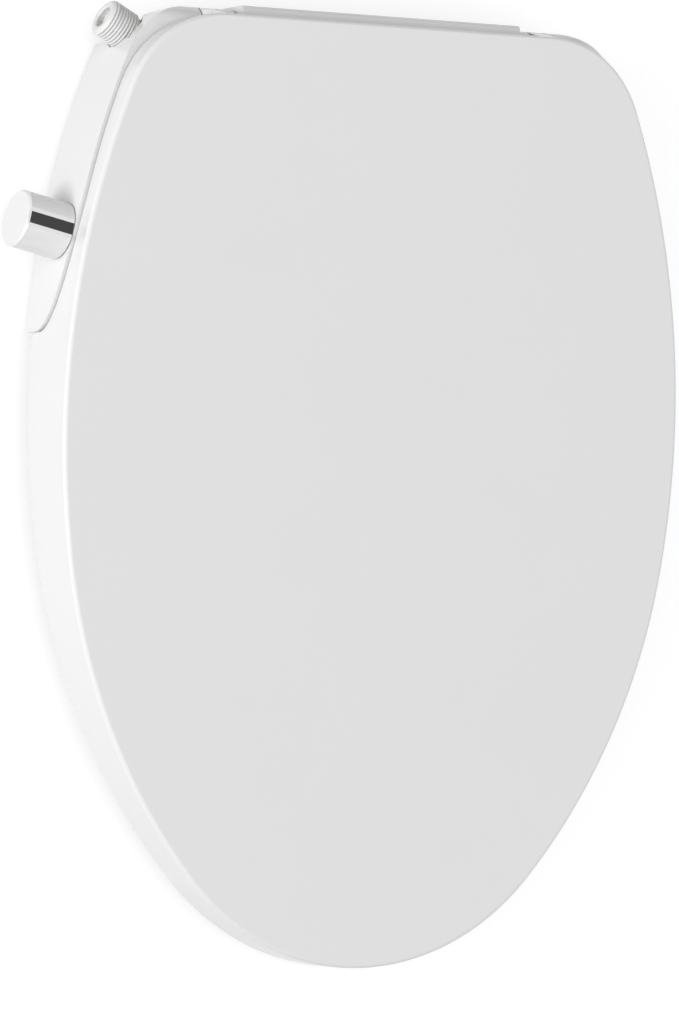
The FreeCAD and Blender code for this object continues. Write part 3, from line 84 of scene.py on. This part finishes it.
# ---------------------------------------------------------------- materials
class Finish:
    """A Principled material with procedural colour drift, gloss drift and surface grain."""

    def __init__(self, name, colour, roughness, metallic=0.0, coat=0.0, ior=1.48):
        self.material = bpy.data.materials.new(name)
        self.material.use_nodes = True
        self.nodes = self.material.node_tree.nodes
        self.links = self.material.node_tree.links
        self.shader = self.nodes["Principled BSDF"]
        self.colour = colour
        self.roughness = roughness
        self.shader.inputs["Base Color"].default_value = (*colour, 1)
        self.shader.inputs["Roughness"].default_value = roughness
        self.shader.inputs["Metallic"].default_value = metallic
        self.shader.inputs["Coat Weight"].default_value = coat
        self.shader.inputs["Coat Roughness"].default_value = 0.06
        self.shader.inputs["IOR"].default_value = ior
        self.place = self.nodes.new("ShaderNodeTexCoord").outputs["Object"]
        self.height = None

    def noise(self, size, detail=2.0, stretch=(1, 1, 1)):
        """Noise whose features are about `size` metres across, longer where stretch is under 1."""
        mapping = self.nodes.new("ShaderNodeMapping")
        mapping.inputs["Scale"].default_value = stretch
        self.links.new(self.place, mapping.inputs["Vector"])
        texture = self.nodes.new("ShaderNodeTexNoise")
        texture.inputs["Scale"].default_value = 1.0 / size
        texture.inputs["Detail"].default_value = detail
        self.links.new(mapping.outputs["Vector"], texture.inputs["Vector"])
        return texture.outputs["Fac"]

    def ramp(self, value, low, high):
        """A number drifting from low to high as value goes from 0.3 to 0.7."""
        node = self.nodes.new("ShaderNodeMapRange")
        for socket, number in (("From Min", 0.3), ("From Max", 0.7), ("To Min", low),
                               ("To Max", high)):
            node.inputs[socket].default_value = number
        self.links.new(value, node.inputs["Value"])
        return node.outputs["Result"]

    def drift_colour(self, size, amount, tint=(1, 1, 1)):
        """Drift from slightly lighter to slightly darker; tint colours the darker end."""
        mix = self.nodes.new("ShaderNodeMix")
        mix.data_type = "RGBA"
        light = [min(1.0, c * (1 + amount)) for c in self.colour]
        dark = [c * (1 - amount) * t for c, t in zip(self.colour, tint)]
        mix.inputs[MIX_A].default_value = (*light, 1)
        mix.inputs[MIX_B].default_value = (*dark, 1)
        self.links.new(self.noise(size, 3.0), mix.inputs[0])
        self.links.new(mix.outputs[MIX_RESULT], self.shader.inputs["Base Color"])
        return self

    def drift_gloss(self, size, amount, stretch=(1, 1, 1)):
        """Roughness drifting by amount to either side."""
        value = self.ramp(self.noise(size, 2.0, stretch), self.roughness - amount,
                          self.roughness + amount)
        self.links.new(value, self.shader.inputs["Roughness"])
        return self

    def grain(self, size, depth, detail=2.0, stretch=(1, 1, 1)):
        """Add a bump of that size and depth on top of any grain already there."""
        bump = self.nodes.new("ShaderNodeBump")
        bump.inputs["Strength"].default_value = 1.0
        bump.inputs["Distance"].default_value = depth
        self.links.new(self.noise(size, detail, stretch), bump.inputs["Height"])
        if self.height is not None:
            self.links.new(self.height, bump.inputs["Normal"])
        self.height = bump.outputs["Normal"]
        self.links.new(self.height, self.shader.inputs["Normal"])
        return self


def gloss_plastic(name, colour, roughness=0.2):
    """Moulded gloss plastic: faint orange peel and fine polish haze."""
    finish = Finish(name, colour, roughness, coat=0.25)
    finish.drift_colour(0.06, 0.008).drift_gloss(0.012, 0.035)
    return finish.grain(0.004, 4e-6).grain(0.0006, 4e-7)


def satin_plastic(name, colour, roughness=0.42):
    """Moulded satin plastic with a spark-eroded grain."""
    finish = Finish(name, colour, roughness)
    finish.drift_colour(0.03, 0.02).drift_gloss(0.006, 0.06)
    return finish.grain(0.0005, 1.2e-5, 3.0).grain(0.01, 1e-5)


def rubber(name, colour):
    finish = Finish(name, colour, 0.68, ior=1.5)
    finish.drift_colour(0.004, 0.06).drift_gloss(0.003, 0.08)
    return finish.grain(0.0004, 1.5e-5, 4.0)


def turned_metal(name, colour, roughness, stretch):
    finish = Finish(name, colour, roughness, metallic=1.0)
    finish.drift_colour(0.008, 0.05, (1.0, 0.98, 0.96)).drift_gloss(0.0008, 0.08, stretch)
    return finish.grain(0.0005, 4e-6, 2.0, stretch)


def hose_plastic(name, colour):
    finish = Finish(name, colour, 0.16, ior=1.43)
    finish.shader.inputs["Transmission Weight"].default_value = 0.55
    finish.drift_colour(0.02, 0.03)
    return finish.grain(0.003, 6e-6)


def ground_ceramic(name, colour):
    finish = Finish(name, colour, 0.3)
    finish.drift_colour(0.001, 0.05).drift_gloss(0.0006, 0.06)
    return finish.grain(0.0002, 3e-6, 4.0)


def make_materials():
    along_x = (0.08, 1, 1)
    made = {
        "white_gloss": gloss_plastic("white_gloss", (0.79, 0.79, 0.79)),
        "white_base": satin_plastic("white_base", (0.74, 0.74, 0.735)),
        "grey_rubber": rubber("grey_rubber", (0.46, 0.47, 0.48)),
        "black_rubber": rubber("black_rubber", (0.02, 0.02, 0.02)),
        "black_gloss": gloss_plastic("black_gloss", (0.012, 0.012, 0.013), 0.09),
        "steel": turned_metal("steel", (0.6, 0.6, 0.61), 0.28, along_x),
        "dark_plastic": satin_plastic("dark_plastic", (0.05, 0.05, 0.055), 0.45),
        "ceramic": ground_ceramic("ceramic", (0.85, 0.83, 0.79)),
        "brass": turned_metal("brass", (0.68, 0.5, 0.22), 0.25, along_x),
        "clear_hose": hose_plastic("clear_hose", (0.8, 0.84, 0.87)),
        "nozzle_white": gloss_plastic("nozzle_white", (0.8, 0.8, 0.805), 0.18),
        "nozzle_steel": turned_metal("nozzle_steel", (0.74, 0.74, 0.75), 0.12, along_x),
    }
    return {name: finish.material for name, finish in made.items()}


MATERIALS = make_materials()


def dress(obj, slot_name):
    """Give an object one of the slot materials."""
    obj.data.materials.clear()
    obj.data.materials.append(MATERIALS[slot_name])
    return obj


for node_name, node in NODES.items():
    dress(node, SLOT_OF[node_name])


# ---------------------------------------------------------------- mesh helpers
def across(axis):
    """Two unit vectors square to an axis and to each other; for an upright axis both are zero."""
    first = Vector((0, 0, 1)).cross(axis).normalized()
    return first, axis.cross(first)


def as_piece(name, mesh, body, slot_name, *replaced):
    """Put a mesh in the scene as a piece that rides on a body and stands for CAD nodes."""
    obj = bpy.data.objects.new(name, mesh)
    bpy.context.scene.collection.objects.link(obj)
    dress(obj, slot_name)
    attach(obj, body)
    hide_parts(*replaced)
    return obj


def smooth_mesh(mesh, angle=35):
    """Smooth shading with creases kept sharp."""
    mesh.shade_smooth()
    mesh.set_sharp_from_angle(angle=math.radians(angle))
    return mesh


def ring_mesh(name, rings, closed):
    """Skin rings of points: end to end round a closed profile, or with a cap at each end."""
    count = len(rings[0])
    points = [point for ring in rings for point in ring]
    pairs = list(zip(range(len(rings)), range(1, len(rings))))
    if closed:
        pairs.append((len(rings) - 1, 0))
    faces = []
    for low, high in pairs:
        for k in range(count):
            after = (k + 1) % count
            faces.append((low * count + k, low * count + after, high * count + after,
                          high * count + k))
    if not closed:
        last = (len(rings) - 1) * count
        faces.append(tuple(reversed(range(count))))
        faces.append(tuple(range(last, last + count)))
    mesh = bpy.data.meshes.new(name)
    mesh.from_pydata(points, [], faces)
    return facing_out(mesh)


def facing_out(mesh):
    """Turn the faces of a closed mesh outwards."""
    bm = bmesh.new()
    bm.from_mesh(mesh)
    bmesh.ops.recalc_face_normals(bm, faces=bm.faces)
    bm.to_mesh(mesh)
    bm.free()
    return mesh


def lathe(name, origin, axis, profile, closed, segments=96, ridge=None):
    """Turn (radius, reach) points in mm about an axis; ridge adds to the radius by place."""
    first, second = across(axis)
    rings = []
    for radius, reach in profile:
        ring = []
        for k in range(segments):
            turn = 2 * math.pi * k / segments
            grown = radius + (ridge(reach, turn) if ridge else 0)
            spoke = first * math.cos(turn) + second * math.sin(turn)
            ring.append(origin + axis * (reach * MM) + spoke * (grown * MM))
        rings.append(ring)
    return smooth_mesh(ring_mesh(name, rings, closed))


def middle(node_name):
    """Centre of a CAD node's box."""
    low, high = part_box(node_name)
    return (Vector(low) + Vector(high)) / 2


# ---------------------------------------------------------------- water inlet
INLET_TURN = math.radians(28)
INLET_AXIS = Vector((-math.cos(INLET_TURN), math.sin(INLET_TURN), 0))
HOSE_WAY = Vector((-0.12, -1, 0)).normalized()
# distances along the inlet's axis, in mm
FILTER_REACH, ELBOW_REACH = 126, 104
THREAD_MINOR, THREAD_MAJOR, THREAD_PITCH = 9.3155, 10.4775, 1.814
THREAD_LOW, THREAD_HIGH, SPOUT_END = 129, 145.33, 146.03
THREAD_ROWS = 16
# the ridge in shares of the pitch: width of the root, then of both flanks together
ROOT_SHARE, FLANK_SHARE = 0.14, 0.6
RUN_IN, RUN_OUT = 1.5, 0.9
BARB_RINGS, BARB_PITCH = 3, 2.6


def thread_ridge(reach, turn):
    """Height of the helical ridge, running out at both ends."""
    if not THREAD_LOW <= reach <= THREAD_HIGH:
        return 0.0
    phase = ((reach - THREAD_LOW) / THREAD_PITCH - turn / (2 * math.pi)) % 1.0
    crest = clamp((1 - abs(2 * phase - 1) - ROOT_SHARE) / FLANK_SHARE)
    ends = clamp((reach - THREAD_LOW) / RUN_IN) * clamp((THREAD_HIGH - reach) / RUN_OUT)
    return (THREAD_MAJOR - THREAD_MINOR) * crest * ends


def inlet_spout():
    """Threaded spout and its flange: stepped mouth, washer seat, filter bore."""
    root = THREAD_MINOR
    inside = [(4.2, 106), (4.2, 121.9), (5.95, 121.9), (5.95, 137), (3.2, 137), (2.9, 137.3),
              (2.9, 141.7), (3.2, 142), (5.7, 142), (5.7, SPOUT_END - 0.6), (6.3, SPOUT_END)]
    outside = [(root - 0.7, SPOUT_END), (root, THREAD_HIGH + 0.1)]
    rows = int((THREAD_HIGH - THREAD_LOW) / THREAD_PITCH * THREAD_ROWS)
    step = (THREAD_HIGH - THREAD_LOW) / rows
    outside += [(root, THREAD_HIGH - step * k) for k in range(rows + 1)]
    outside += [(root - 0.1, THREAD_LOW - 0.3), (root - 0.1, 112.4), (root + 0.4, 111.9),
                (14.6, 111.9), (15, 111.5), (15, 108.9), (14.6, 108.5), (root - 0.6, 108.5),
                (root - 0.6, 106)]
    origin = middle("inlet_filter") - INLET_AXIS * (FILTER_REACH * MM)
    mesh = lathe("inlet_spout", origin, INLET_AXIS, inside + outside, True, ridge=thread_ridge)
    as_piece("inlet_spout", mesh, "housing", "white_base", "inlet_fitting")


def inlet_elbow():
    """Elbow behind the flange and its ribbed hose barb.

    The elbow's axis is upright, so across() gives it no width: its mesh is a line without volume.
    """
    corner = middle("inlet_filter") - INLET_AXIS * ((FILTER_REACH - ELBOW_REACH) * MM)
    dome = [(0.3, -7), (5.2, -7), (6.3, -6.6), (6.8, -5.6), (6.8, 5.6), (6.3, 6.6), (5.2, 7),
            (0.3, 7)]
    mesh = lathe("inlet_elbow", corner, Vector((0, 0, 1)), dome, False, 64)
    as_piece("inlet_elbow", mesh, "housing", "white_base", "inlet_fitting")
    barb = [(2.1, 5)]
    for k in range(BARB_RINGS):
        up = BARB_PITCH * k
        barb += [(2.1, 7.2 + up), (2.48, 7.3 + up), (2.1, 9.4 + up)]
    barb += [(2.0, 16), (1.3, 16), (1.3, 5)]
    mesh = lathe("inlet_barb", corner, HOSE_WAY, barb, True, 40)
    as_piece("inlet_barb", mesh, "housing", "white_base", "inlet_fitting")


# ---------------------------------------------------------------- springs
NOZZLE_TILT = math.radians(17)
NOZZLE_WAY = Vector((0, -math.cos(NOZZLE_TILT), -math.sin(NOZZLE_TILT)))
STEPS_PER_TURN, WIRE_SIDES = 24, 8
# how strongly the turns crowd together at both ends, from 0, evenly spaced, to 1
CLOSED_ENDS = 0.55


def spring(node_name, axis, coil_radius, wire_radius, turns):
    """Compression spring with closed ends, filling its CAD node's length.
    """
    low, high = (Vector(corner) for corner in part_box(node_name))
    size = high - low
    centre = (low + high) / 2
    first, second = across(axis)
    outer = (coil_radius + wire_radius) * MM
    lean = abs(axis.y)
    length = size.x if lean < 0.5 else (size.y - 2 * outer * math.sqrt(1 - lean * lean)) / lean
    travel = length - 2 * wire_radius * MM
    steps = turns * STEPS_PER_TURN
    round_wire = [2 * math.pi * j / WIRE_SIDES for j in range(WIRE_SIDES)]
    rings = []
    for k in range(steps + 1):
        share = k / steps
        eased = share - math.sin(2 * math.pi * share) * 0.5 / math.pi * CLOSED_ENDS
        turn = 2 * math.pi * turns * share
        spoke = first * math.cos(turn) + second * math.sin(turn)
        point = centre + axis * (travel * (eased - 0.5)) + spoke * (coil_radius * MM)
        rings.append([point + (spoke * math.cos(a) + axis * math.sin(a)) * (wire_radius * MM)
                      for a in round_wire])
    name = node_name + "_coil"
    mesh = smooth_mesh(ring_mesh(name, rings, False), 50)
    obj = as_piece(name, mesh, "housing", "steel", node_name)
    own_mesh(obj)


def springs():
    spring("release_spring", Vector((1, 0, 0)), coil_radius=3.95, wire_radius=0.4, turns=8)
    for name in ("rear", "front"):
        spring(name + "_return_spring", NOZZLE_WAY, coil_radius=5.02, wire_radius=0.42, turns=6)


# ---------------------------------------------------------------- seat ring
SEAT_SLOPE = 31 / 495
SEAT_TIP_Y, SEAT_TIP_TOP = -472, 23.5
# the dish: depth and width, the height below the top where it starts, and its fade to the rear
SEAT_DISH, DISH_WIDTH = 4.5, 55
DISH_START, DISH_BUILD = 14, 10
DISH_REAR_Y, DISH_FADE = -105, 60
# the opening's tangent arcs on the +X side: centre x, centre y, radius
HOLE_FRONT, HOLE_SIDE, HOLE_REAR = (0, -292, 98), (-126.8, -245.8, 233), (12.2, -195.2, 85)
HOLE_SWEEP = math.radians(70)
# planes that cut the level faces, so that they can bend: normal, first and last place
GRIDS = ((Vector((1, 0, 0)), -180, 180), (Vector((0, 1, 0)), -460, -100))
GRID_STEP = 12
LEVEL_NORMAL = 0.9
MERGE = 1e-6


def hole_distance(x, y):
    """How far outside the seat's opening a point lies, in mm."""
    x = abs(x)
    arc = HOLE_SIDE
    if math.atan2(x - HOLE_FRONT[0], HOLE_FRONT[1] - y) <= HOLE_SWEEP:
        arc = HOLE_FRONT
    elif math.atan2(x - HOLE_REAR[0], y - HOLE_REAR[1]) <= HOLE_SWEEP:
        arc = HOLE_REAR
    return math.hypot(x - arc[0], y - arc[1]) - arc[2]


def seat_dip(x, y, z):
    """How far the seat's moulded top sinks at a point, falling away towards the opening."""
    inward = 1 - clamp(hole_distance(x, y) / DISH_WIDTH)
    top = SEAT_TIP_TOP + (y - SEAT_TIP_Y) * SEAT_SLOPE
    upper = clamp((z - top + DISH_START) / DISH_BUILD)
    ahead = clamp((DISH_REAR_Y - y) / DISH_FADE)
    return SEAT_DISH * inward * inward * upper * ahead


def cut_grid(bm):
    """Merge the flat faces' triangles, cut the level ones into a grid, and triangulate again."""
    bmesh.ops.remove_doubles(bm, verts=bm.verts, dist=MERGE)
    bmesh.ops.dissolve_limit(bm, angle_limit=math.radians(0.3), verts=bm.verts, edges=bm.edges)
    for normal, low, high in GRIDS:
        for at in range(low, high + 1, GRID_STEP):
            level = [face for face in bm.faces if abs(face.normal.z) > LEVEL_NORMAL]
            edges = {edge for face in level for edge in face.edges}
            verts = {vert for face in level for vert in face.verts}
            bmesh.ops.bisect_plane(bm, geom=level + list(edges) + list(verts), dist=MERGE,
                                   plane_co=normal * (at * MM), plane_no=normal)
    bmesh.ops.triangulate(bm, faces=bm.faces)


def seat_ring():
    """The CAD seat ring with its flat top dished towards the opening."""
    bm = bmesh.new()
    bm.from_mesh(NODES["seat_ring"].data)
    cut_grid(bm)
    for vert in bm.verts:
        x, y, z = vert.co / MM
        vert.co.z -= seat_dip(x, y, z) * MM
    mesh = bpy.data.meshes.new("seat_dished")
    bm.to_mesh(mesh)
    bm.free()
    stale_normals = mesh.attributes.get("custom_normal")
    if stale_normals:
        mesh.attributes.remove(stale_normals)
    as_piece("seat_dished", smooth_mesh(mesh, 30), "seat", "white_gloss", "seat_ring")


inlet_spout()
inlet_elbow()
springs()
seat_ring()


# ---------------------------------------------------------------- floor, light and camera
FLOOR_HALF, FLOOR_GAP, FLOOR_GLOW = 6.0, 0.0002, 0.58


def floor():
    """Plain pale sheet just under the object; it glows a little, like a lit light table."""
    mesh = bpy.data.meshes.new("floor")
    half, z = FLOOR_HALF, cad_bounds[0][2] - FLOOR_GAP
    mesh.from_pydata([(-half, -half, z), (half, -half, z), (half, half, z), (-half, half, z)],
                     [], [(0, 1, 2, 3)])
    obj = bpy.data.objects.new("floor", mesh)
    bpy.context.scene.collection.objects.link(obj)
    paper = Finish("paper", (0.55, 0.55, 0.55), 0.9)
    paper.drift_colour(0.4, 0.004)
    paper.shader.inputs["Emission Color"].default_value = (1, 1, 1, 1)
    paper.shader.inputs["Emission Strength"].default_value = FLOOR_GLOW
    mesh.materials.append(paper.material)
    obj.visible_diffuse = False


def soft_light(name, place, aim, size, power):
    """Rectangular area light at a place, turned to its aim."""
    light = bpy.data.lights.new(name, "AREA")
    light.shape = "RECTANGLE"
    light.size, light.size_y = size
    light.energy = power
    obj = bpy.data.objects.new(name, light)
    bpy.context.scene.collection.objects.link(obj)
    place = Vector(place)
    obj.location = place
    obj.rotation_euler = (Vector(aim) - place).to_track_quat("-Z", "Y").to_euler()


def surroundings(overhead, ahead, behind, below):
    """White studio: bright overhead and at both sides, dimmer towards the tip and the hinges."""
    world = bpy.data.worlds.new("studio")
    world.use_nodes = True
    nodes, links = world.node_tree.nodes, world.node_tree.links
    direction = nodes.new("ShaderNodeSeparateXYZ")
    links.new(nodes.new("ShaderNodeTexCoord").outputs["Generated"], direction.inputs["Vector"])

    def fade(value, start, stop, first, last):
        node = nodes.new("ShaderNodeMapRange")
        node.interpolation_type = "SMOOTHSTEP"
        for socket, number in (("From Min", start), ("From Max", stop)):
            node.inputs[socket].default_value = number
        for socket, source in (("To Min", first), ("To Max", last)):
            if isinstance(source, float):
                node.inputs[socket].default_value = source
            else:
                links.new(source, node.inputs[socket])
        links.new(value, node.inputs["Value"])
        return node.outputs["Result"]

    front = fade(direction.outputs["Y"], -0.9, -0.45, ahead, overhead)
    upper = fade(direction.outputs["Y"], 0.3, 0.8, front, behind)
    glow = fade(direction.outputs["Z"], -0.15, 0.0, below, upper)
    links.new(glow, nodes["Background"].inputs["Strength"])
    nodes["Background"].inputs["Color"].default_value = (1, 1, 1, 1)
    bpy.context.scene.world = world


CAMERA_PLACE = Vector((-1.530, -0.317, 2.583))
CAMERA_AIM = Vector((-0.0195, -0.2337, 0.040))
CAMERA_ROLL = math.radians(0.31)
CAMERA_LENS = 197.1


def camera():
    """Upright in the picture is +Y, the way from the front tip to the hinges."""
    data = bpy.data.cameras.new("camera")
    data.lens = CAMERA_LENS
    data.sensor_width = 36.0
    data.clip_end = 20.0
    forward = (CAMERA_AIM - CAMERA_PLACE).normalized()
    side = forward.cross(Vector((0, 1, 0))).normalized()
    up = side.cross(forward)
    turn = Matrix((side, up, -forward)).transposed()
    turn = Matrix.Rotation(CAMERA_ROLL, 3, -forward) @ turn
    obj = bpy.data.objects.new("camera", data)
    obj.matrix_world = Matrix.Translation(CAMERA_PLACE) @ turn.to_4x4()
    bpy.context.scene.collection.objects.link(obj)
    bpy.context.scene.camera = obj


floor()
surroundings(overhead=1.0, ahead=0.3, behind=0.15, below=0.4)
soft_light("key", place=(-5.0, -0.4, 1.35), aim=(0, -0.2, 0.03), size=(2.0, 1.2), power=145)
camera()
bpy.context.scene.view_settings.view_transform = "Standard"
